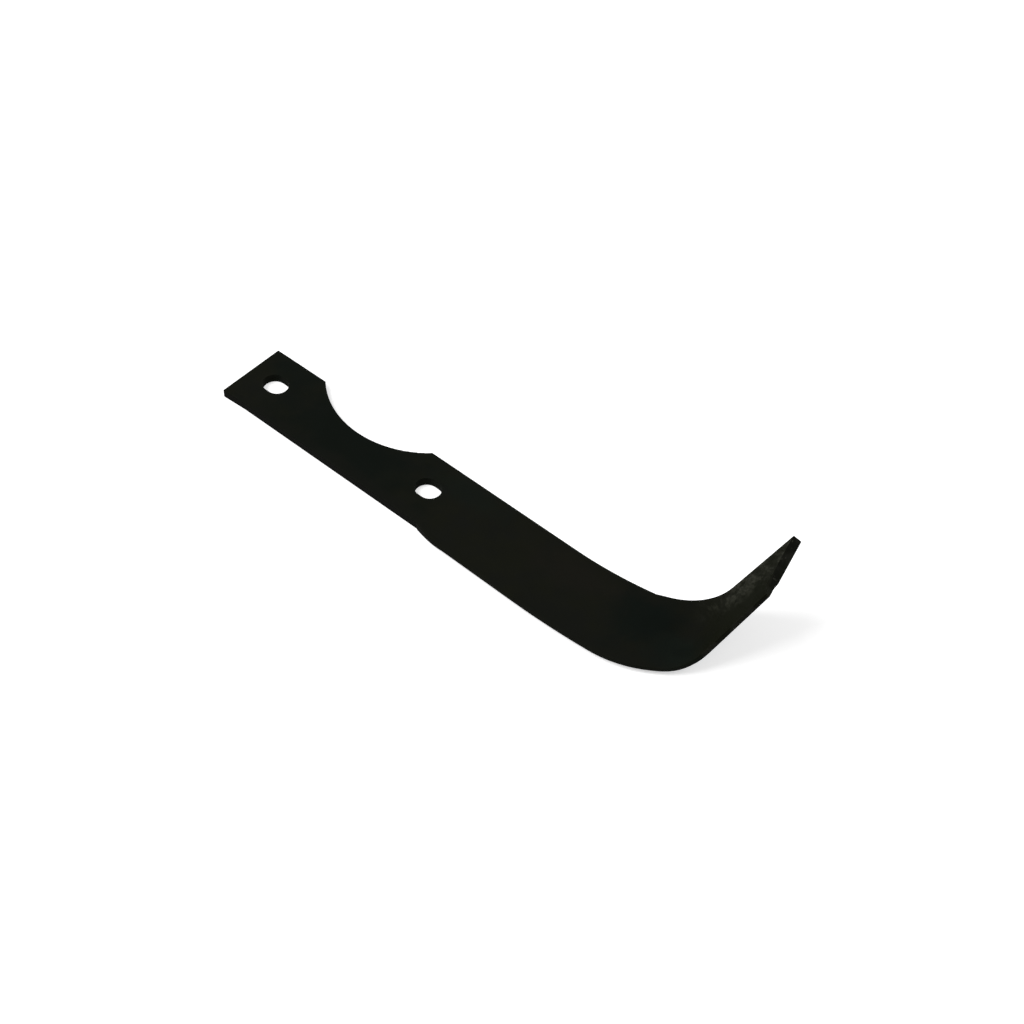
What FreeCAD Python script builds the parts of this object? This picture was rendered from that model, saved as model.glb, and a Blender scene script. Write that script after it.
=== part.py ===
import FreeCAD, Part
import math
import os

# Rotary tiller blade: one piece of flat steel bar, 40 x 5 mm, forged and bent.
#
# Frame: the origin is midway between the two bolt slots, on the mounting face.
# +X runs along the shank towards the wing, +Y towards the notched back edge, and
# +Z out of the mounting face, to the side that the wing is bent to.
#
# The blade is drawn as a flat blank and then bent. A flat point is (x, y, h): x and
# y lie in the blank's middle plane, and h is the height above that plane.

# --- Bar ---------------------------------------------------------------------
THICKNESS = 5.0
BAR_WIDTH = 40.0
BACK_EDGE_Y = 19.4                # the slots' line to the back edge
MOUNTING_END_X = -72.0
HEAD_TAPER = 0.7                  # the head's back edge draws in by this, at its very end
HEAD_FLARE = 0.8                  # and its front edge, spread by the shears, comes out by this
FLARE_LENGTH = 15.0

# --- Bolt slots and the notch that clears the rotor tube ----------------------
SLOT_SPACING = 109.4
SLOT_WIDTH = 12.2
SLOT_LENGTH = 14.6
NOTCH_RADIUS = 55.6
NOTCH_CENTRE_X = 0.9
NOTCH_DEPTH = 15.4

# --- Forged cutting edge ------------------------------------------------------
FORGED_FROM_X = 66.0              # where the edge steps out of the bar
STEP_LENGTH = 21.1
STEP_WIDTH = 3.75
FORGED_HEADING = -0.7             # degrees, the forged edge's slant after the step
EDGE_LAND = 2.0                   # thickness that is left at the cutting edge
BEVEL_RUN = 14.0                  # width of the bevel, along the bend's lines

# --- Oblique bend that raises the wing ----------------------------------------
BEND_START_X = 208.7              # where the bend's first line crosses the slots' line
BEND_SKEW = 20.8                  # degrees between that line and a square fold
BEND_RADIUS = 27.0                # to the middle plane
BEND_ANGLE = 56.3
WING_LENGTH = 69.2                # developed, along the back edge, across the bend

# --- Outline of the blank beyond the straight bar ------------------------------
# A pair is a turn to the left, as (radius, degrees), or to the right if both are
# negative. A single number is the length of a straight stretch.
CUTTING_EDGE_START_X = 134.0
CUTTING_EDGE_TURNS = [(486.0, 5.6), (61.3, 29.8), 8.7, (53.2, 8.4)]
BACK_EDGE_START_X = 136.5
BACK_EDGE_TURNS = [(241.0, 10.15), 4.5, (2.4, 16.0), (-140.0, -2.5), (38.0, 11.5)]

# --- Wing's end ----------------------------------------------------------------
WING_LENGTH_AT_EDGE = 66.9        # developed, along the cutting edge
CORNER_RISE = 9.8                 # the cut's first, square stretch from the cutting edge
CORNER_BACK = 0.7

# --- Edges ---------------------------------------------------------------------
EDGE_ROUNDING = 0.6               # of the bar's rolled edges
RIM_ROUNDING = 0.2                # of the punched slots' rims
SQUARE_WITHIN = 5.0               # degrees off square that still gets rounded

# --- The oversize plate, and the solids that trim it ---------------------------
PLATE_BACK = 290.0                # from the bend's first line, towards the head
PLATE_FRONT = WING_LENGTH + 8.0
PLATE_SIDE = -60.0
PLATE_WIDTH = 210.0
CLEAR = 3.0                       # how far the trimming solids stand above and below
REACH = 220.0                     # how far they run past the blank
RUN_OUT = 100.0                   # how far the edges' straights run on past the ends
POINT_STEP = 5.0                  # spacing of the points along the blank's edges
FEWEST_STEPS = 4
FORGED_STEPS = 8

HALF = THICKNESS / 2.0
SKEW = math.radians(BEND_SKEW)
TURN = math.radians(BEND_ANGLE)
CUTTING_EDGE_Y = BACK_EDGE_Y - BAR_WIDTH

# across the bend, and along its lines, in the plane of the shank
ACROSS = FreeCAD.Vector(math.cos(SKEW), math.sin(SKEW), 0)
ALONG = FreeCAD.Vector(-math.sin(SKEW), math.cos(SKEW), 0)
BEND_ORIGIN = FreeCAD.Vector(BEND_START_X, 0, 0)
UP = FreeCAD.Vector(0, 0, 1)


def bent(point, height):
    """Where a flat point of the blank lies once the wing is bent up."""
    flat = FreeCAD.Vector(point[0], point[1], 0) - BEND_ORIGIN
    along = flat.dot(ALONG)
    across = flat.dot(ACROSS)
    angle = min(max(across / BEND_RADIUS, 0.0), TURN)
    beyond = max(across - BEND_RADIUS * TURN, 0.0)
    forward = min(across, 0.0) + BEND_RADIUS * math.sin(angle) + beyond * math.cos(angle)
    raised = BEND_RADIUS * (1 - math.cos(angle)) + beyond * math.sin(angle)
    forward = forward - height * math.sin(angle)
    raised = raised + height * math.cos(angle)
    return BEND_ORIGIN + ALONG * along + ACROSS * forward + UP * (raised + HALF)


def across_bend(point):
    """Developed distance of a flat point beyond the bend's first line."""
    return (FreeCAD.Vector(point[0], point[1], 0) - BEND_ORIGIN).dot(ACROSS)


def shifted(point, distance):
    """A flat point moved along the bend's lines, towards the back edge."""
    return (point[0] + distance * ALONG.x, point[1] + distance * ALONG.y)


def on_blank(across, along):
    """The flat point at these distances across the bend and along its lines."""
    spot = BEND_ORIGIN + ACROSS * across + ALONG * along
    return (spot.x, spot.y)


def turned_path(corners, heading, turns):
    """Stretches of flat points: straight between the corners, then the turns."""
    stretches = []
    for corner in range(len(corners) - 1):
        stretches.append([corners[corner], corners[corner + 1]])
    x, y = corners[-1]
    angle = math.radians(heading)
    for turn in turns + [RUN_OUT]:
        points = [(x, y)]
        if isinstance(turn, tuple):
            radius, degrees = turn
            sweep = math.radians(degrees)
            centre_x = x - radius * math.sin(angle)
            centre_y = y + radius * math.cos(angle)
            steps = max(FEWEST_STEPS, int(radius * sweep / POINT_STEP))
            for step in range(1, steps + 1):
                at = angle + sweep * step / steps
                points.append((centre_x + radius * math.sin(at), centre_y - radius * math.cos(at)))
            angle = angle + sweep
        else:
            steps = max(FEWEST_STEPS, int(turn / POINT_STEP))
            for step in range(1, steps + 1):
                length = turn * step / steps
                points.append((x + length * math.cos(angle), y + length * math.sin(angle)))
        stretches.append(points)
        x, y = points[-1]
    return stretches


def trimming_solid(stretches, section):
    """A solid that follows an edge of the bent blank.

    section gives the corners of its cross-section at a flat point, each as a
    distance along the bend's lines and a height.
    """
    faces = []
    for points in stretches:
        rows = []
        for point in points:
            rows.append([bent(shifted(point, distance), height) for distance, height in section(point)])
        curves = []
        for corner in range(len(rows[0])):
            places = [row[corner] for row in rows]
            curve = Part.BSplineCurve()
            curve.interpolate(places)
            curves.append(curve.toShape())
        for corner in range(len(curves)):
            if len(rows) == 2:
                sides = [rows[0][corner - 1], rows[0][corner], rows[1][corner], rows[1][corner - 1]]
                faces.append(Part.Face(Part.makePolygon(sides + sides[:1])))
            else:
                faces.append(Part.makeRuledSurface(curves[corner - 1], curves[corner]))
    for point in (stretches[0][0], stretches[-1][-1]):
        ring = [bent(shifted(point, distance), height) for distance, height in section(point)]
        faces.append(Part.Face(Part.makePolygon(ring + ring[:1])))
    shell = Part.makeShell(faces)
    shell.sewShape()
    return Part.makeSolid(shell)


def wing_prism(corners):
    """A prism square to the wing, over a flat polygon beyond the bend."""
    ring = [bent(corner, -HALF - CLEAR) for corner in corners]
    outward = bent(corners[0], 1.0) - bent(corners[0], 0.0)
    face = Part.Face(Part.makePolygon(ring + ring[:1]))
    return face.extrude(outward * (THICKNESS + 2 * CLEAR))


def bent_plate():
    """An oversize plate with the bend in it."""
    rows = []
    for height in (-HALF, HALF):
        spots = []
        for across in (-PLATE_BACK, 0.0, BEND_RADIUS * TURN / 2, BEND_RADIUS * TURN, PLATE_FRONT):
            spots.append(bent(on_blank(across, PLATE_SIDE), height))
        rows.append(spots)
    edges = []
    for spots in rows:
        edges.append(Part.LineSegment(spots[0], spots[1]).toShape())
        edges.append(Part.Arc(spots[1], spots[2], spots[3]).toShape())
        edges.append(Part.LineSegment(spots[3], spots[4]).toShape())
    edges.append(Part.LineSegment(rows[0][0], rows[1][0]).toShape())
    edges.append(Part.LineSegment(rows[0][4], rows[1][4]).toShape())
    profile = Part.Wire(Part.__sortEdges__(edges))
    return Part.Face(profile).extrude(ALONG * PLATE_WIDTH)


def back_edge_path():
    """The back edge: the head's slight taper, the straight bar, then its turns."""
    start = (MOUNTING_END_X - CLEAR, BACK_EDGE_Y - HEAD_TAPER)
    head = (NOTCH_CENTRE_X, BACK_EDGE_Y)
    bar = (BACK_EDGE_START_X, BACK_EDGE_Y)
    return turned_path([start, head, bar], 0.0, BACK_EDGE_TURNS)


def cutting_edge_path():
    """The bar's front edge, the step out to the forged edge, then its turns."""
    slant = math.tan(math.radians(FORGED_HEADING))
    flare_from = MOUNTING_END_X + FLARE_LENGTH
    flare = HEAD_FLARE / FLARE_LENGTH
    start = (MOUNTING_END_X - RUN_OUT, CUTTING_EDGE_Y - flare * (RUN_OUT + FLARE_LENGTH))
    bar = (flare_from, CUTTING_EDGE_Y)
    step = []
    for index in range(FORGED_STEPS + 1):
        share = index / FORGED_STEPS
        x = FORGED_FROM_X + STEP_LENGTH * share
        out = STEP_WIDTH * math.sin(math.pi / 2 * share)
        step.append((x, CUTTING_EDGE_Y - out + (x - FORGED_FROM_X) * slant))
    turn_y = CUTTING_EDGE_Y - STEP_WIDTH + (CUTTING_EDGE_START_X - FORGED_FROM_X) * slant
    turned = turned_path([step[-1], (CUTTING_EDGE_START_X, turn_y)], FORGED_HEADING, CUTTING_EDGE_TURNS)
    return [[start, bar], [bar, step[0]], step] + turned


def back_trim(point):
    """Everything beyond the back edge."""
    high = HALF + CLEAR
    return [(0.0, high), (REACH, high), (REACH, -high), (0.0, -high)]


def front_trim(point):
    """Everything beyond the cutting edge."""
    high = HALF + CLEAR
    return [(0.0, high), (0.0, -high), (-REACH, -high), (-REACH, high)]


def bevel_trim(point):
    """The ground bevel on the underside, run out over the step in the edge."""
    share = min(max((point[0] - FORGED_FROM_X) / STEP_LENGTH, 0.0), 1.0)
    land_height = -HALF + (THICKNESS - EDGE_LAND) * share
    slope = (THICKNESS - EDGE_LAND) / BEVEL_RUN
    outer = (-CLEAR, land_height + slope * CLEAR)
    run = (land_height + HALF) / slope
    inner = (run + CLEAR, -HALF - slope * CLEAR)
    return [outer, inner, (-CLEAR, -HALF - 2 * CLEAR)]


def place_on(stretches, across):
    """The flat point of a path at a distance across the bend, and its direction."""
    for points in stretches:
        for first, second in zip(points, points[1:]):
            before = across_bend(first)
            after = across_bend(second)
            if before <= across <= after and after > before:
                share = (across - before) / (after - before)
                step_x = second[0] - first[0]
                step_y = second[1] - first[1]
                length = math.hypot(step_x, step_y)
                place = (first[0] + share * step_x, first[1] + share * step_y)
                return place, (step_x / length, step_y / length)


def stepped(point, direction, forward, left):
    """A flat point moved forward along a direction, and to its left."""
    x = point[0] + forward * direction[0] - left * direction[1]
    y = point[1] + forward * direction[1] + left * direction[0]
    return (x, y)


def end_trim():
    """Everything beyond the wing's end, which is cut off at a slant."""
    corner, heading = place_on(cutting_edge_path(), WING_LENGTH_AT_EDGE)
    tip = place_on(back_edge_path(), WING_LENGTH)[0]
    knee = stepped(corner, heading, -CORNER_BACK, CORNER_RISE)
    cut = FreeCAD.Vector(tip[0] - knee[0], tip[1] - knee[1], 0).normalize()
    past_tip = stepped(tip, cut, CLEAR, 0.0)
    first = FreeCAD.Vector(knee[0] - corner[0], knee[1] - corner[1], 0).normalize()
    before_corner = stepped(corner, first, -CLEAR, 0.0)
    far_tip = stepped(past_tip, heading, REACH, 0.0)
    far_corner = stepped(before_corner, heading, REACH, 0.0)
    return wing_prism([before_corner, corner, knee, tip, past_tip, far_tip, far_corner])


def bolt_slot(centre_x):
    radius = SLOT_WIDTH / 2
    straight = (SLOT_LENGTH - SLOT_WIDTH) / 2
    right = FreeCAD.Vector(centre_x + straight, 0, -CLEAR)
    left = FreeCAD.Vector(centre_x - straight, 0, -CLEAR)
    side = FreeCAD.Vector(0, radius, 0)
    end = FreeCAD.Vector(radius, 0, 0)
    edges = []
    edges.append(Part.LineSegment(left - side, right - side).toShape())
    edges.append(Part.Arc(right - side, right + end, right + side).toShape())
    edges.append(Part.LineSegment(right + side, left + side).toShape())
    edges.append(Part.Arc(left + side, left - end, left - side).toShape())
    return Part.Face(Part.Wire(edges)).extrude(UP * (THICKNESS + 2 * CLEAR))


def tube_notch():
    centre_y = BACK_EDGE_Y - NOTCH_DEPTH + NOTCH_RADIUS
    centre = FreeCAD.Vector(NOTCH_CENTRE_X, centre_y, -CLEAR)
    return Part.makeCylinder(NOTCH_RADIUS, THICKNESS + 2 * CLEAR, centre)


def head_trim():
    """Everything behind the mounting end."""
    corner = FreeCAD.Vector(MOUNTING_END_X - 2 * REACH, -REACH, -CLEAR)
    return Part.makeBox(2 * REACH, 4 * REACH, THICKNESS + 2 * CLEAR, corner)


def square_edges(shape):
    """Each edge whose two faces stand square to each other, with its middle point."""
    found = []
    for edge in shape.Edges:
        middle = edge.valueAt((edge.FirstParameter + edge.LastParameter) / 2)
        normals = []
        for face in shape.ancestorsOfType(edge, Part.Face):
            normals.append(face.normalAt(*face.Surface.parameter(middle)))
        slant = abs(math.degrees(normals[0].getAngle(normals[-1])) - 90)
        if slant < SQUARE_WITHIN:
            found.append((edge, middle))
    return found


def make_blade():
    trims = []
    trims.append(trimming_solid(back_edge_path(), back_trim))
    trims.append(trimming_solid(cutting_edge_path(), front_trim))
    trims.append(trimming_solid(cutting_edge_path()[2:], bevel_trim))
    trims.append(head_trim())
    trims.append(tube_notch())
    blank = bent_plate().cut(trims).Solids[0]

    # the rolled edges are rounded; the bevel's edges and the wing's cut stay crisp
    plate_end = bent(on_blank(PLATE_FRONT - CLEAR, 0), 0.0).z
    rolled = [edge for edge, middle in square_edges(blank) if middle.z < plate_end]
    blank = blank.makeFillet(EDGE_ROUNDING, rolled)

    slots = [bolt_slot(-SLOT_SPACING / 2), bolt_slot(SLOT_SPACING / 2)]
    blade = blank.cut(slots + [end_trim()]).Solids[0]
    slots_reach = (SLOT_SPACING + SLOT_LENGTH) / 2 + RIM_ROUNDING
    rims = [edge for edge, middle in square_edges(blade) if abs(middle.x) < slots_reach]
    return blade.makeFillet(RIM_ROUNDING, rims).Solids[0]


os.makedirs("parts", exist_ok=True)
blade = make_blade()
blade.exportStep("parts/tiller_blade.step")
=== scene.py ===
import math

import bpy
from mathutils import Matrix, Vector


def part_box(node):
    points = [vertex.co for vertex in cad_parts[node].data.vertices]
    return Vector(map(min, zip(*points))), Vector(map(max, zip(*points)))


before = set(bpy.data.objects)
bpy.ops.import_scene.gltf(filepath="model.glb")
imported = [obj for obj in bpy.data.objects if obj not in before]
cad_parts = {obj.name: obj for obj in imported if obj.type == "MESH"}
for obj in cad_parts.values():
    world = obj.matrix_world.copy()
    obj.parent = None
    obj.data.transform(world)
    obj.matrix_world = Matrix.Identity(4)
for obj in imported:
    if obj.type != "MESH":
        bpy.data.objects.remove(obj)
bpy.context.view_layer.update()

scene = bpy.context.scene
scene.view_settings.view_transform = "Standard"
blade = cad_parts["tiller_blade"]
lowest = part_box("tiller_blade")[0]

# the blade as it is made, in metres and radians: first a flat blank, then one bend
THICKNESS = 0.005
HEAD_END_X = lowest.x
SLOT_X = 0.0547
SLOT_STRAIGHT = 0.0012
SLOT_RADIUS = 0.0061
NOTCH_CENTRE = (0.0009, 0.0596, 0.0)
NOTCH_RADIUS = 0.0556
FORGED_FROM_X = 0.066
BEND_START = (0.2087, 0.0, 0.0)
BEND_SKEW = math.radians(20.8)
BEND_RADIUS = 0.027
BEND_ANGLE = math.radians(56.3)
ACROSS_BEND = (math.cos(BEND_SKEW), math.sin(BEND_SKEW), 0.0)
ALONG_BEND = (-math.sin(BEND_SKEW), math.cos(BEND_SKEW), 0.0)
UPWARDS = (0.0, 0.0, 1.0)

# the blank's two long edges: the points of the straight part, then the direction and
# the turns that follow, as (radius, degrees), or (length, 0) for a straight stretch
BACK_EDGE = [(HEAD_END_X, 0.0187), (0.0009, 0.0194), (0.1365, 0.0194)]
BACK_TURNS = [(0.241, 10.15), (0.0045, 0), (0.0024, 16.0), (-0.140, -2.5), (0.038, 11.5), (0.09, 0)]
CUTTING_EDGE = [
    (HEAD_END_X, -0.0214), (-0.057, -0.0206), (FORGED_FROM_X, -0.0206),
    (0.073, -0.0225), (0.080, -0.0241), (0.0871, -0.0246), (0.134, -0.0252),
]
CUTTING_TURNS = [(0.486, 5.6), (0.0613, 29.8), (0.0087, 0), (0.0532, 8.4), (0.09, 0)]
FORGED_HEADING = -0.7

# the wing's end, as (distance along the bend's lines, distance across the bend)
WING_END = [(0.0096, 0.0689), (0.0136, 0.0669), (0.0224, 0.0625), (0.0509, 0.0692), (0.0549, 0.0701)]


# --- Camera ---------------------------------------------------------------------
def add_camera():
    """A long lens, looking down on the blade from its cutting edge's side."""
    aim = Vector((0.110, 0.0, 0.0125))
    distance = 1.2082
    elevation = math.radians(48.58)
    turn = math.radians(42.245)
    back = Vector((
        math.sin(turn) * math.cos(elevation),
        -math.cos(turn) * math.cos(elevation),
        math.sin(elevation),
    ))
    data = bpy.data.cameras.new("camera")
    data.sensor_width = 36.0
    data.lens = 86.9
    data.shift_x = 0.0021
    data.shift_y = 0.0215
    data.clip_start = 0.05
    data.clip_end = 50.0
    camera = bpy.data.objects.new("camera", data)
    camera.location = aim + back * distance
    camera.rotation_mode = "QUATERNION"
    camera.rotation_quaternion = (-back).to_track_quat("-Z", "Y")
    scene.collection.objects.link(camera)
    scene.camera = camera


# --- Building of materials ------------------------------------------------------
class Wiring:
    """Adds nodes to one tree; each method gives back an output to wire on."""

    def __init__(self, tree):
        self.tree = tree

    def node(self, kind, **settings):
        made = self.tree.nodes.new("ShaderNode" + kind)
        for name, value in settings.items():
            setattr(made, name, value)
        return made

    def feed(self, socket, value):
        if isinstance(value, bpy.types.NodeSocket):
            self.tree.links.new(value, socket)
        elif socket.type == "RGBA":
            socket.default_value = (*value, 1.0)
        else:
            socket.default_value = value

    def feed_all(self, made, values):
        for name, value in values.items():
            self.feed(made.inputs[name], value)

    def math(self, operation, *values, clamp=False):
        made = self.node("Math", operation=operation, use_clamp=clamp)
        for socket, value in zip(made.inputs, values):
            self.feed(socket, value)
        return made.outputs[0]

    def add(self, first, second):
        return self.math("ADD", first, second)

    def subtract(self, first, second):
        return self.math("SUBTRACT", first, second)

    def times(self, first, *others):
        for other in others:
            first = self.math("MULTIPLY", first, other)
        return first

    def inverse(self, mask):
        return self.math("SUBTRACT", 1.0, mask)

    def clamped(self, value, low, high):
        return self.math("MINIMUM", self.math("MAXIMUM", value, low), high)

    def choose(self, mask, first, second):
        """The first value where the mask is 0, the second where it is 1."""
        return self.add(self.times(self.inverse(mask), first), self.times(mask, second))

    def least(self, first, *others):
        for other in others:
            first = self.math("MINIMUM", first, other)
        return first

    def vector(self, operation, *values):
        made = self.node("VectorMath", operation=operation)
        for socket, value in zip(made.inputs, values):
            self.feed(socket, value)
        return made.outputs["Value" if operation in ("DOT_PRODUCT", "LENGTH", "DISTANCE") else "Vector"]

    def scaled(self, direction, amount):
        made = self.node("VectorMath", operation="SCALE")
        self.feed(made.inputs["Vector"], direction)
        self.feed(made.inputs["Scale"], amount)
        return made.outputs["Vector"]

    def parts(self, vector):
        made = self.node("SeparateXYZ")
        self.feed(made.inputs[0], vector)
        return made.outputs["X"], made.outputs["Y"], made.outputs["Z"]

    def joined(self, x, y, z):
        made = self.node("CombineXYZ")
        self.feed_all(made, {"X": x, "Y": y, "Z": z})
        return made.outputs[0]

    def ease(self, value, start, end):
        """A mask that rises smoothly from 0 at the start to 1 at the end."""
        made = self.node("MapRange", interpolation_type="SMOOTHSTEP")
        self.feed_all(made, {"Value": value, "From Min": start, "From Max": end})
        return made.outputs["Result"]

    def fade(self, value, start, end):
        """A mask that falls smoothly from 1 at the start to 0 at the end."""
        return self.inverse(self.ease(value, start, end))

    def blotches(self, place, pattern):
        """Noise around 0.5. A pattern gives the blotches' size, seed, detail and roughness."""
        size, seed, detail, roughness = pattern
        made = self.node("TexNoise", noise_dimensions="4D")
        self.feed_all(made, {
            "Vector": place, "W": seed, "Scale": 1 / size, "Detail": detail, "Roughness": roughness,
        })
        return made.outputs["Fac"]

    def patches(self, place, pattern, levels):
        """A mask of patches: 0 where the noise is below the first level, 1 above the second."""
        return self.ease(self.blotches(place, pattern), *levels)

    def rags(self, place, pattern, amount):
        """Noise around 0, which makes a border ragged by this amount."""
        return self.times(self.subtract(self.blotches(place, pattern), 0.5), amount)

    def specks(self, place, size, seed):
        """Distance to scattered points, in speck sizes."""
        made = self.node("TexVoronoi", voronoi_dimensions="4D")
        self.feed_all(made, {"Vector": place, "W": seed, "Scale": 1 / size})
        return made.outputs["Distance"]

    def blend(self, mask, first, second):
        """The first colour where the mask is 0, the second where it is 1."""
        made = self.node("Mix", data_type="RGBA")
        # the sockets for colours come after those for values and vectors
        self.feed(made.inputs["Factor"], mask)
        self.feed(made.inputs[6], first)
        self.feed(made.inputs[7], second)
        return made.outputs[2]

    def group(self, tree, **values):
        made = self.node("Group", node_tree=tree)
        self.feed_all(made, {name.replace("_", " "): value for name, value in values.items()})
        return made.outputs


SOCKETS = {"value": "NodeSocketFloat", "vector": "NodeSocketVector"}


def new_group(name, inputs, outputs):
    """A node group with its wiring, what it's given and where it ends."""
    tree = bpy.data.node_groups.new(name, "ShaderNodeTree")
    for way, sockets in (("INPUT", inputs), ("OUTPUT", outputs)):
        for socket, kind in sockets.items():
            tree.interface.new_socket(name=socket, in_out=way, socket_type=SOCKETS[kind])
    given = tree.nodes.new("NodeGroupInput").outputs
    end = tree.nodes.new("NodeGroupOutput")
    return tree, Wiring(tree), given, end


# --- Floor and light --------------------------------------------------------------
FLOOR_REACH = 4.0
FLOOR_GAP = 0.0002
FLOOR_SHADE = (0.8, 0.8, 0.8)
FLOOR_LIFT = 0.5
ROOM_LIGHT = 0.25
LAMPS_AIM = Vector((0.1, 0.0, 0.0))
LAMPS = [
    # name, place, size in metres, watts
    ("key", (-0.6, -1.0, 1.5), 1.4, 38),
    ("fill", (1.2, 0.9, 1.3), 1.2, 14),
]


def seen_directly(w):
    """1 where the camera, a reflection or a clear thing shows this, 0 as it lights."""
    rays = w.node("LightPath").outputs
    shown = w.math("MAXIMUM", rays["Is Camera Ray"], rays["Is Glossy Ray"])
    return w.math("MAXIMUM", shown, rays["Is Transmission Ray"])


def pale_floor():
    material = bpy.data.materials.new("pale_floor")
    material.use_nodes = True
    w = Wiring(material.node_tree)
    w.tree.nodes.clear()
    colour = w.node("BsdfDiffuse")
    w.feed(colour.inputs["Color"], FLOOR_SHADE)
    lift = w.node("Emission")
    w.feed(lift.inputs["Strength"], w.times(seen_directly(w), FLOOR_LIFT))
    both = w.node("AddShader")
    w.feed(both.inputs[0], colour.outputs[0])
    w.feed(both.inputs[1], lift.outputs[0])
    w.feed(w.node("OutputMaterial").inputs["Surface"], both.outputs[0])
    return material


def add_floor():
    corners = [(-1, -1), (1, -1), (1, 1), (-1, 1)]
    height = lowest.z - FLOOR_GAP
    mesh = bpy.data.meshes.new("floor")
    mesh.from_pydata([(x * FLOOR_REACH, y * FLOOR_REACH, height) for x, y in corners], [], [(0, 1, 2, 3)])
    mesh.materials.append(pale_floor())
    floor = bpy.data.objects.new("floor", mesh)
    scene.collection.objects.link(floor)


def add_world(strength):
    world = bpy.data.worlds.new("studio")
    world.use_nodes = True
    w = Wiring(world.node_tree)
    w.tree.nodes.clear()
    lighting = w.node("Background")
    w.feed_all(lighting, {"Color": (1, 1, 1), "Strength": strength})
    shown = w.node("Background")
    w.feed(shown.inputs["Color"], (1, 1, 1))
    mix = w.node("MixShader")
    w.feed(mix.inputs["Fac"], seen_directly(w))
    w.feed(mix.inputs[1], lighting.outputs[0])
    w.feed(mix.inputs[2], shown.outputs[0])
    w.feed(w.node("OutputWorld").inputs["Surface"], mix.outputs[0])
    scene.world = world


def add_lamp(name, place, size, power):
    data = bpy.data.lights.new(name, "AREA")
    data.shape = "SQUARE"
    data.size = size
    data.energy = power
    lamp = bpy.data.objects.new(name, data)
    lamp.location = place
    lamp.rotation_mode = "QUATERNION"
    lamp.rotation_quaternion = (LAMPS_AIM - Vector(place)).to_track_quat("-Z", "Y")
    scene.collection.objects.link(lamp)


# --- Places on the blank --------------------------------------------------------
def turned(points, heading, turns):
    """The straight points of an edge, then a few points to each turn."""
    steps = 3
    points = list(points)
    x, y = points[-1]
    angle = math.radians(heading)
    for radius, degrees in turns:
        sweep = math.radians(degrees)
        length = radius * sweep if degrees else radius
        for _ in range(steps):
            x += length / steps * math.cos(angle + sweep / (2 * steps))
            y += length / steps * math.sin(angle + sweep / (2 * steps))
            angle += sweep / steps
            points.append((x, y))
    return points


def line_through(w, x, points):
    """The y of a line of straight stretches through these points, at this x."""
    margin = 0.001
    (first, _), (last, _) = points[0], points[-1]
    low = min(y for _, y in points) - margin
    high = max(y for _, y in points) + margin
    curve = w.node("FloatCurve")
    line = curve.mapping.curves[0]
    spots = [((px - first) / (last - first), (py - low) / (high - low)) for px, py in points]
    line.points[0].location = spots[0]
    line.points[1].location = spots[-1]
    for spot in spots[1:-1]:
        line.points.new(*spot)
    for point in line.points:
        point.handle_type = "VECTOR"
    curve.mapping.update()
    share = w.math("DIVIDE", w.subtract(x, first), last - first, clamp=True)
    w.feed(curve.inputs["Value"], share)
    return w.math("MULTIPLY_ADD", curve.outputs[0], high - low, low)


def unbent_group():
    """Where a point of the blade lay on the flat blank, and which way it faces there."""
    tree, w, given, end = new_group("unbent_blank", {}, {
        "Place": "vector", "Across": "value", "Along": "value", "Height": "value", "Facing": "value",
    })
    coordinates = w.node("TexCoord").outputs
    place = w.vector("SUBTRACT", coordinates["Object"], BEND_START)
    across = w.vector("DOT_PRODUCT", place, ACROSS_BEND)
    along = w.vector("DOT_PRODUCT", place, ALONG_BEND)
    height = w.subtract(w.parts(place)[2], THICKNESS / 2)

    # the angle round the bend's axis, then what lies beyond it on the straight wing
    below_axis = w.subtract(BEND_RADIUS, height)
    angle = w.clamped(w.math("ARCTAN2", across, below_axis), 0.0, BEND_ANGLE)
    sine, cosine = math.sin(BEND_ANGLE), math.cos(BEND_ANGLE)
    out = w.subtract(across, BEND_RADIUS * sine)
    up = w.subtract(height, BEND_RADIUS * (1 - cosine))
    wing = w.math("MAXIMUM", w.add(w.times(out, cosine), w.times(up, sine)), 0.0)
    developed = w.add(w.add(w.least(across, 0.0), w.times(angle, BEND_RADIUS)), wing)

    # the height above the sheet's middle: before the bend, round it and on the wing
    round_bend = w.subtract(BEND_RADIUS, w.vector("LENGTH", w.joined(across, below_axis, 0.0)))
    on_wing = w.subtract(w.times(up, cosine), w.times(out, sine))
    middle = w.choose(w.math("GREATER_THAN", across, 0.0), height, round_bend)
    middle = w.choose(w.math("GREATER_THAN", wing, 0.0), middle, on_wing)

    normal = coordinates["Normal"]
    standing = w.times(w.vector("DOT_PRODUCT", normal, UPWARDS), w.math("COSINE", angle))
    leaning = w.times(w.vector("DOT_PRODUCT", normal, ACROSS_BEND), w.math("SINE", angle))
    flat = w.vector("ADD", w.scaled(ACROSS_BEND, developed), w.scaled(ALONG_BEND, along))
    x, y, _ = w.parts(w.vector("ADD", flat, BEND_START))
    w.feed_all(end, {
        "Place": w.joined(x, y, middle), "Across": developed, "Along": along,
        "Height": w.add(middle, THICKNESS / 2), "Facing": w.subtract(standing, leaning),
    })
    return tree


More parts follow.
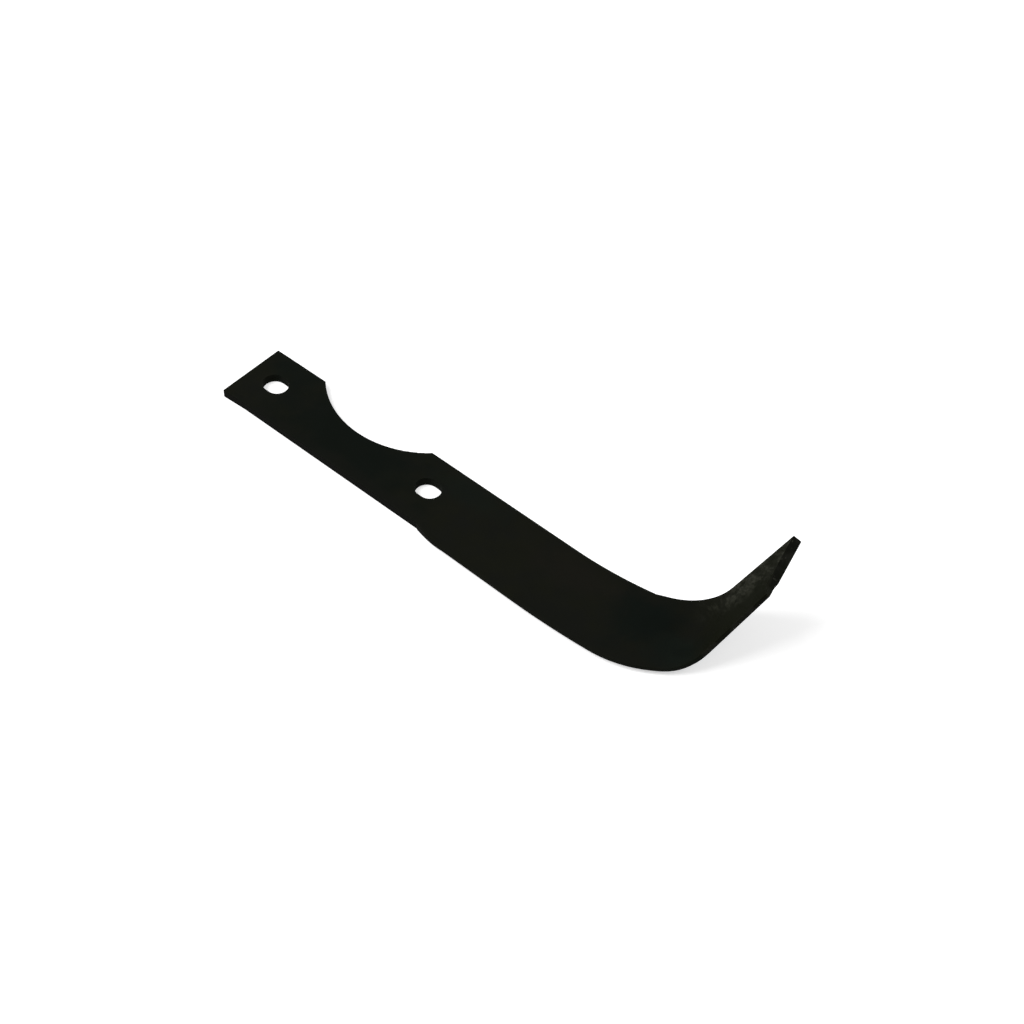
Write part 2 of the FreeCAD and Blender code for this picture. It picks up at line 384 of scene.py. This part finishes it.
def edges_group():
    """Distances over the sheet to its edges, its slots, its notch and its end."""
    tree, w, given, end = new_group("edges_of_blank", {
        "Place": "vector", "Across": "value", "Along": "value",
    }, {
        "From Back": "value", "From Cutting": "value", "From End": "value", "From Edge": "value",
    })
    x, y, _ = w.parts(given["Place"])
    from_back = w.subtract(line_through(w, x, turned(BACK_EDGE, 0.0, BACK_TURNS)), y)
    from_cutting = w.subtract(y, line_through(w, x, turned(CUTTING_EDGE, FORGED_HEADING, CUTTING_TURNS)))
    on_sheet = w.joined(x, y, 0.0)
    from_notch = w.subtract(w.vector("DISTANCE", on_sheet, NOTCH_CENTRE), NOTCH_RADIUS)
    to_centre = w.math("ABSOLUTE", w.subtract(w.math("ABSOLUTE", x), SLOT_X))
    to_centre = w.math("MAXIMUM", w.subtract(to_centre, SLOT_STRAIGHT), 0.0)
    from_slot = w.subtract(w.vector("LENGTH", w.joined(to_centre, y, 0.0)), SLOT_RADIUS)
    from_end = w.subtract(line_through(w, given["Along"], WING_END), given["Across"])
    from_head = w.subtract(x, HEAD_END_X)
    w.feed_all(end, {
        "From Back": from_back, "From Cutting": from_cutting, "From End": from_end,
        "From Edge": w.least(from_back, from_cutting, from_notch, from_slot, from_end, from_head),
    })
    return tree


# --- Paint ----------------------------------------------------------------------
# Noise patterns here and below: size of the blotches in metres, seed, detail, roughness.
# "Levels" and "over" give the two values between which a mask turns.
OLIVE_BLACK = (0.0050, 0.0054, 0.0032)
GREEN_BLACK = (0.0022, 0.0034, 0.0024)
BLUE_BLACK = (0.0026, 0.0040, 0.0030)
BROWN_BLACK = (0.0060, 0.0058, 0.0041)
GREY_BLACK = (0.0044, 0.0048, 0.0036)
TEAL_BLACK = (0.0040, 0.0060, 0.0044)

TONES = (0.012, 20.0, 4.0, 0.6)
TONE_LEVELS = (0.35, 0.7)

# where the paint lies thicker or thinner: colour, centre and reach on the blank, share
PAINT_CLOUDS = [
    (BLUE_BLACK, (-0.055, 0.014), (0.020, 0.012), 0.7),
    (GREEN_BLACK, (0.004, -0.004), (0.062, 0.034), 0.9),
    (GREY_BLACK, (0.030, -0.020), (0.090, 0.006), 0.7),
    (TEAL_BLACK, (0.074, 0.012), (0.026, 0.010), 0.5),
    (BROWN_BLACK, (0.148, 0.008), (0.028, 0.012), 0.9),
    (GREY_BLACK, (0.165, -0.020), (0.036, 0.010), 0.8),
    (BLUE_BLACK, (0.191, 0.007), (0.020, 0.020), 1.0),
    (GREEN_BLACK, (0.195, 0.009), (0.009, 0.005), 0.6),
    (TEAL_BLACK, (0.216, 0.003), (0.018, 0.013), 0.9),
    (GREEN_BLACK, (0.219, 0.004), (0.008, 0.005), 0.5),
]
CLOUD_SIZE = 0.012
FIRST_CLOUD_SEED = 21.0
CLOUD_DETAIL = 4.0
CLOUD_ROUGHNESS = 0.6
CLOUD_RAGGEDNESS = 1.8
CLOUD_OVER = (0.20, 1.30)


def paint_cloud_group():
    """A soft, ragged cloud on the sheet, 1 in its middle."""
    tree, w, given, end = new_group("paint_cloud", {
        "Place": "vector", "Centre": "vector", "Reach": "vector", "Seed": "value",
    }, {"Cloud": "value"})
    away = w.vector("DIVIDE", w.vector("SUBTRACT", given["Place"], given["Centre"]), given["Reach"])
    pattern = (CLOUD_SIZE, given["Seed"], CLOUD_DETAIL, CLOUD_ROUGHNESS)
    ragged = w.rags(given["Place"], pattern, CLOUD_RAGGEDNESS)
    w.feed_all(end, {"Cloud": w.fade(w.add(w.vector("LENGTH", away), ragged), *CLOUD_OVER)})
    return tree


def painted(w, place):
    """The paint's colour: drifting clouds of olive, green, blue and brown in the black."""
    colour = w.blend(w.patches(place, TONES, TONE_LEVELS), OLIVE_BLACK, GREY_BLACK)
    tree = paint_cloud_group()
    for number, (tint, centre, reach, share) in enumerate(PAINT_CLOUDS):
        seed = FIRST_CLOUD_SEED + number
        cloud = w.group(tree, Place=place, Centre=(*centre, 0.0), Reach=(*reach, 1.0), Seed=seed)
        colour = w.blend(w.times(cloud["Cloud"], share), colour, tint)
    return colour


# --- Forged skin ----------------------------------------------------------------
# heights in metres; the forged part has its own on top of the rolled bar's
WAVES = (0.020, 1.0, 2.0, 0.4)
WAVE_HEIGHT = 0.00004
FORGED_WAVE_HEIGHT = 0.00022
DENTS = (0.006, 2.0, 2.0, 0.5)
DENT_HEIGHT = 0.00001
FORGED_DENT_HEIGHT = 0.00004
GRAIN = (0.0009, 3.0, 2.0, 0.5)
GRAIN_HEIGHT = 0.00001
PIT_SPACING = 0.0032
PIT_SEED = 4.0
PIT_OVER = (0.06, 0.20)
PITTED = (0.020, 5.0, 3.0, 0.5)
PITTED_LEVELS = (0.42, 0.60)
PIT_DEPTH = 0.00005


def forged_skin_group():
    """Height of the forged and painted skin: waves, dents, pits and the paint's own grain."""
    tree, w, given, end = new_group("forged_skin", {
        "Place": "vector", "Forged": "value",
    }, {"Height": "value"})
    place, forged = given["Place"], given["Forged"]
    wave_height = w.add(WAVE_HEIGHT, w.times(forged, FORGED_WAVE_HEIGHT))
    dent_height = w.add(DENT_HEIGHT, w.times(forged, FORGED_DENT_HEIGHT))
    waves = w.times(w.blotches(place, WAVES), wave_height)
    dents = w.times(w.blotches(place, DENTS), dent_height)
    grain = w.times(w.blotches(place, GRAIN), GRAIN_HEIGHT)
    spots = w.fade(w.specks(place, PIT_SPACING, PIT_SEED), *PIT_OVER)
    pits = w.times(spots, w.patches(place, PITTED, PITTED_LEVELS))
    height = w.subtract(w.add(w.add(waves, dents), grain), w.times(pits, PIT_DEPTH))
    w.feed_all(end, {"Height": height})
    return tree


# --- Forging scale and painted sheen on the wing --------------------------------
MOSS_BLACK = (0.0029, 0.0035, 0.0011)
# the scale's lighter grey, partly a painted sheen on the wing; also the colour of the end's chips
SCALE_AND_SHEEN_GREY = (0.0255, 0.0262, 0.0190)

# flakes drawn out towards the wing's corner
TO_CORNER_ACROSS = 0.76
TO_CORNER_ALONG = 0.62
FLAKE_SHORTENING = 0.35
BROAD_FLAKES = (0.0046, 6.0, 3.0, 0.6)
BROAD_FLAKE_LEVELS = (0.45, 0.59)
BROAD_FLAKE_SHARE = 0.35
BROAD_FLAKE_HEIGHT = 0.00016
FINE_FLAKES = (0.0015, 7.0, 3.0, 0.6)
FINE_FLAKE_LEVELS = (0.35, 0.65)
FINE_FLAKE_SHARE = 0.20
FINE_FLAKE_HEIGHT = 0.00006
BOTH_FLAKES_SHARE = 0.45

# distances across the bend, and from the back edge; the scale and its painted sheen spread from there
WING_OVER = (0.004, 0.026)
MOSS_OVER = (0.010, 0.036)
SCALE_AND_SHEEN_OVER = (0.012, 0.026)
SCALE_AND_SHEEN_BORDER = (0.008, 30.0, 3.0, 0.5)
SCALE_AND_SHEEN_RAGGEDNESS = 0.016
SCALE_AND_SHEEN_WIDENS_FROM = 0.025
SCALE_AND_SHEEN_WIDENING = 0.25
SCALE_AND_SHEEN_ELSEWHERE = 0.03


def flaky_scale_group():
    """Rough forging scale, in flakes drawn out towards the wing's corner."""
    tree, w, given, end = new_group("flaky_scale", {
        "Across": "value", "Along": "value",
    }, {"Flakes": "value", "Height": "value"})
    across, along = given["Across"], given["Along"]
    to_corner = w.subtract(w.times(across, TO_CORNER_ACROSS), w.times(along, TO_CORNER_ALONG))
    beside = w.add(w.times(across, TO_CORNER_ALONG), w.times(along, TO_CORNER_ACROSS))
    drawn = w.joined(w.times(to_corner, FLAKE_SHORTENING), beside, 0.0)
    broad = w.patches(drawn, BROAD_FLAKES, BROAD_FLAKE_LEVELS)
    fine = w.patches(drawn, FINE_FLAKES, FINE_FLAKE_LEVELS)
    broad_part = w.times(broad, w.add(BROAD_FLAKE_SHARE, w.times(fine, BOTH_FLAKES_SHARE)))
    w.feed_all(end, {
        "Flakes": w.add(broad_part, w.times(fine, FINE_FLAKE_SHARE)),
        "Height": w.add(w.times(broad, BROAD_FLAKE_HEIGHT), w.times(fine, FINE_FLAKE_HEIGHT)),
    })
    return tree


# --- Cut walls ------------------------------------------------------------------
# painted shade: the colour that darkens the bar's front wall
FRONT_WALL_SHADE_BLACK = (0.0014, 0.0014, 0.0010)
FRONT_WALL_SHADE_SHARE = 0.85
CUT_WALL_OVER = (0.0006, 0.0012)

SCORES = (0.0007, 8.0, 2.0, 0.6)
SCORES_SHORTENING = 0.08
SCORE_LEVELS = (0.45, 0.75)
SCORE_SHARE = 0.10
SCORE_HEIGHT = 0.00003
TEARS = (0.0011, 10.0, 3.0, 0.6)
TEAR_HEIGHT = 0.00016
TEAR_BORDER = (0.004, 9.0, 3.0, 0.5)
TEAR_RAGGEDNESS = 0.0014
TORN_OVER = (0.0018, 0.0026)

CHIPS = (0.0024, 50.0, 3.0, 0.6)
CHIP_LEVELS = (0.60, 0.70)

# the rubbed band on the end's wall lies above a line that rises along the end
RUBBED_GREY = (0.0110, 0.0116, 0.0074)
RUB_FROM = 0.013
RUB_SLOPE = 0.155
RUB_HEIGHT = 0.0019
RUB_BORDER = (0.003, 51.0, 3.0, 0.5)
RUB_RAGGEDNESS = 0.0012
RUB_OVER = (-0.0003, 0.0003)
RUB_SHARE = 0.55
RUB_FLAKES_SHARE = 0.7


def sheared_wall_group():
    """A cut wall: smooth and finely scored above, torn below."""
    tree, w, given, end = new_group("sheared_wall", {
        "Place": "vector", "Height": "value",
    }, {"Scores": "value", "Torn": "value", "Height": "value"})
    place = given["Place"]
    x, y, _ = w.parts(place)
    standing = w.joined(x, y, w.times(given["Height"], SCORES_SHORTENING))
    scores = w.blotches(standing, SCORES)
    border = w.add(given["Height"], w.times(w.blotches(place, TEAR_BORDER), TEAR_RAGGEDNESS))
    torn = w.fade(border, *TORN_OVER)
    score_height = w.times(scores, SCORE_HEIGHT)
    tear_height = w.times(w.blotches(place, TEARS), TEAR_HEIGHT)
    height = w.choose(torn, score_height, tear_height)
    w.feed_all(end, {"Scores": scores, "Torn": torn, "Height": height})
    return tree


# --- Grinding marks and worn rims -----------------------------------------------
STEEL_GREY = (0.0130, 0.0132, 0.0105)

GRINDING = (0.0012, 11.0, 2.0, 0.6)
GRINDING_SHORTENING = 0.05
GRINDING_HEIGHT = 0.00003
GROUND_OVER = (0.012, 0.016)

RIM_WIDTH = 0.0016
RIM_BORDER = (0.0012, 13.0, 3.0, 0.5)
RIM_RAGGEDNESS = 1.6
RIM_OVER = (0.2, 1.0)
RIM_PATCHES = (0.009, 12.0, 4.0, 0.6)
RIM_LEVELS = (0.45, 0.62)
RIM_SHARE = 0.10
WING_RIM_SHARE = 0.5


def grinding_marks_group():
    """Fine grinding marks, drawn out along the bend's lines."""
    tree, w, given, end = new_group("grinding_marks", {
        "Across": "value", "Along": "value",
    }, {"Marks": "value"})
    drawn = w.joined(given["Across"], w.times(given["Along"], GRINDING_SHORTENING), 0.0)
    w.feed_all(end, {"Marks": w.blotches(drawn, GRINDING)})
    return tree


def worn_rim_group():
    """A narrow rim along an edge, where the paint has rubbed thin in patches."""
    tree, w, given, end = new_group("worn_rim", {
        "Place": "vector", "Distance": "value",
    }, {"Worn": "value"})
    ragged = w.rags(given["Place"], RIM_BORDER, RIM_RAGGEDNESS)
    share = w.add(w.math("DIVIDE", given["Distance"], RIM_WIDTH), ragged)
    patchy = w.patches(given["Place"], RIM_PATCHES, RIM_LEVELS)
    w.feed_all(end, {"Worn": w.times(w.fade(share, *RIM_OVER), patchy)})
    return tree


# --- Whole blade ----------------------------------------------------------------
SPECULAR_LEVEL = 0.03
ROUGHNESS = 0.72
GLOSS = (0.010, 40.0, 3.0, 0.5)
GLOSS_SHARE = 0.16
WING_ROUGHNESS = 0.14
FACING_SIDEWAYS = (0.35, 0.65)
FACING_DOWN = (-0.3, -0.6)
FORGED_OVER = (FORGED_FROM_X, FORGED_FROM_X + 0.06)


def dress_blade():
    material = bpy.data.materials.new("black_paint")
    material.use_nodes = True
    w = Wiring(material.node_tree)
    shader = material.node_tree.nodes["Principled BSDF"]
    shader.inputs["Specular IOR Level"].default_value = SPECULAR_LEVEL

    blank = w.group(unbent_group())
    place, across, along, facing = blank["Place"], blank["Across"], blank["Along"], blank["Facing"]
    edges = w.group(edges_group(), Place=place, Across=across, Along=along)
    wall = w.fade(w.math("ABSOLUTE", facing), *FACING_SIDEWAYS)
    inner = w.ease(facing, *FACING_SIDEWAYS)
    forged = w.ease(w.parts(place)[0], *FORGED_OVER)
    on_wing = w.ease(across, *WING_OVER)
    colour = painted(w, place)

    # the wing's inner face is a darker olive, and lighter towards its back edge: rough forging scale in
    # flakes, partly a painted sheen
    scale = w.group(flaky_scale_group(), Across=across, Along=along)
    from_back = w.add(edges["From Back"], w.rags(place, SCALE_AND_SHEEN_BORDER, SCALE_AND_SHEEN_RAGGEDNESS))
    widening = w.times(w.subtract(across, SCALE_AND_SHEEN_WIDENS_FROM), SCALE_AND_SHEEN_WIDENING)
    upper = w.fade(w.subtract(from_back, widening), *SCALE_AND_SHEEN_OVER)
    colour = w.blend(w.times(w.ease(across, *MOSS_OVER), inner), colour, MOSS_BLACK)
    share = w.add(SCALE_AND_SHEEN_ELSEWHERE, w.times(upper, 1 - SCALE_AND_SHEEN_ELSEWHERE))
    scaled = w.times(on_wing, inner, share)
    # painted sheen: the strip by the back edge is painted lighter grey, in the scale's flakes
    colour = w.blend(w.times(scaled, scale["Flakes"]), colour, SCALE_AND_SHEEN_GREY)

    # edges rubbed thin, and cut walls scored
    rim = w.group(worn_rim_group(), Place=place, Distance=edges["From Edge"])
    rim_share = w.add(RIM_SHARE, w.times(on_wing, WING_RIM_SHARE))
    colour = w.blend(w.times(rim["Worn"], rim_share), colour, STEEL_GREY)
    cut = w.group(sheared_wall_group(), Place=place, Height=blank["Height"])
    scored = w.times(wall, w.ease(cut["Scores"], *SCORE_LEVELS), w.inverse(cut["Torn"]))
    colour = w.blend(w.times(scored, SCORE_SHARE), colour, STEEL_GREY)

    # painted shade: the bar's front wall is painted darker than the faces
    shaded_front_wall = w.times(wall, w.fade(edges["From Cutting"], *CUT_WALL_OVER), w.inverse(forged))
    colour = w.blend(w.times(shaded_front_wall, FRONT_WALL_SHADE_SHARE), colour, FRONT_WALL_SHADE_BLACK)

    # the wing's cut end is chipped, and rubbed bare in a band next to the inner face
    on_end = w.times(wall, w.fade(edges["From End"], *CUT_WALL_OVER))
    chipped = w.patches(place, CHIPS, CHIP_LEVELS)
    colour = w.blend(w.times(on_end, chipped), colour, SCALE_AND_SHEEN_GREY)
    rub_line = w.add(w.times(w.subtract(along, RUB_FROM), RUB_SLOPE), RUB_HEIGHT)
    rub_line = w.add(rub_line, w.rags(place, RUB_BORDER, RUB_RAGGEDNESS))
    above_line = w.ease(w.subtract(blank["Height"], rub_line), *RUB_OVER)
    rub_share = w.add(RUB_SHARE, w.times(scale["Flakes"], RUB_FLAKES_SHARE))
    colour = w.blend(w.times(on_end, above_line, rub_share), colour, RUBBED_GREY)

    # heights in metres; the grinding marks show along the forged cutting edge, on the
    # upper side and the walls
    skin = w.group(forged_skin_group(), Place=place, Forged=forged)
    grinding = w.group(grinding_marks_group(), Across=across, Along=along)
    not_below = w.fade(facing, *FACING_DOWN)
    ground = w.times(not_below, w.fade(edges["From Cutting"], *GROUND_OVER), forged)
    face_height = w.add(skin["Height"], w.times(scaled, scale["Height"]))
    face_height = w.add(face_height, w.times(ground, grinding["Marks"], GRINDING_HEIGHT))
    height = w.choose(wall, face_height, cut["Height"])
    bump = w.node("Bump")
    w.feed_all(bump, {"Strength": 1.0, "Distance": 1.0, "Height": height})

    roughness = w.add(ROUGHNESS, w.times(w.blotches(place, GLOSS), GLOSS_SHARE))
    roughness = w.add(roughness, w.times(on_wing, WING_ROUGHNESS))
    w.feed_all(shader, {"Base Color": colour, "Roughness": roughness, "Normal": bump.outputs["Normal"]})
    blade.data.materials.clear()
    blade.data.materials.append(material)


add_camera()
add_floor()
add_world(ROOM_LIGHT)
for lamp in LAMPS:
    add_lamp(*lamp)
dress_blade()
